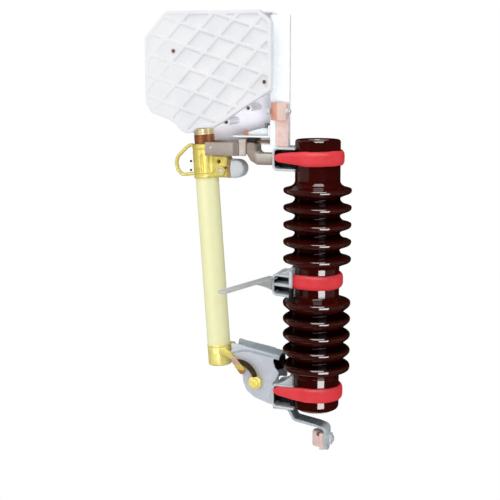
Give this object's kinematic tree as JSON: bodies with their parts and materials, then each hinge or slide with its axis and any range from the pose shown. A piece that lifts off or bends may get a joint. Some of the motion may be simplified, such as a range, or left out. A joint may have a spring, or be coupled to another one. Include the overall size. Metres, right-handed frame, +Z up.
{
  "type": "dropout fuse cutout",
  "caption": "Pole-top fuse cutout: ribbed porcelain post, strapped clamps with a mounting arm, arc chute and a hinged fuse holder that drops open.",
  "frame": {"origin": "middle of the mounting arm's flat underside, where it lies on the crossarm bracket", "axes": "+Z up along the porcelain post; the fuse holder is on the -X side of the post and drops open towards -X; +Y is away from the mounting arm"},
  "size_m": [0.2694, 0.1754, 0.576],
  "materials": {
    "glazed_porcelain": "glossy chocolate brown glaze",
    "bare_porcelain": "unglazed cream porcelain",
    "red_coating": "satin red dip coating over steel strap",
    "galvanised_steel": "hot-dip galvanised, matt pale grey",
    "zinc_bolts": "bright zinc plate",
    "pink_copper": "pale pinkish copper",
    "tinned_contact": "tinned copper, taupe grey",
    "cast_brass": "cast brass, satin",
    "bright_brass": "turned brass, bright",
    "orange_copper": "bare copper",
    "dark_copper": "tarnished copper",
    "brown_copper": "brown copper",
    "white_plastic": "white moulded plastic, satin",
    "pale_plate": "pale lavender white plate, satin",
    "grey_boss": "pale grey plastic",
    "yellow_tube": "pale yellow glass fibre tube, varnished",
    "dark_braid": "dark braided fuse link tail"
  },
  "bodies": {
    "post_frame": {"insulator": "glazed_porcelain", "foot_ring": "bare_porcelain", "strap_top": "red_coating", "strap_mid": "red_coating", "strap_bottom": "red_coating", "clamp_top": "galvanised_steel", "clamp_mid": "galvanised_steel", "clamp_bottom": "galvanised_steel", "mounting_arm": "galvanised_steel", "frame_channel": "galvanised_steel", "riser_clamp": "pink_copper", "riser_bolt": "zinc_bolts", "riser_strip": "pink_copper", "gusset": "galvanised_steel", "gusset_bolt": "zinc_bolts", "contact_block": "dark_copper", "contact_strip": "pink_copper", "contact_blade": "tinned_contact", "finger_near": "tinned_contact", "finger_far": "tinned_contact", "finger_clip": "tinned_contact", "chute_near": "white_plastic", "chute_far": "white_plastic", "chute_plate": "pale_plate", "chute_bosses": "grey_boss", "chute_screws": "zinc_bolts", "hinge_channel": "galvanised_steel", "hinge_pin": "cast_brass", "lower_strap": "galvanised_steel", "lower_terminal": "pink_copper", "lower_bolt": "zinc_bolts"},
    "fuse_holder": {"fuse_tube": "yellow_tube", "tube_cap": "bright_brass", "tube_sleeve": "brown_copper", "head_casting": "cast_brass", "pull_ring": "cast_brass", "latch_arm": "cast_brass", "latch_pin": "zinc_bolts", "latch_tongue": "galvanised_steel", "ferrule": "bright_brass", "trunnion_arm_near": "cast_brass", "trunnion_arm_far": "cast_brass", "link_clamp": "orange_copper", "link_tail": "dark_braid", "link_screw": "cast_brass"}
  },
  "joints": [
    {"name": "holder_drop", "type": "hinge", "parent": "post_frame", "child": "fuse_holder", "pos_m": [-0.00022, 0.096, -0.1415], "axis": [0, -1, 0], "range_deg": [0, 135]}
  ]
}
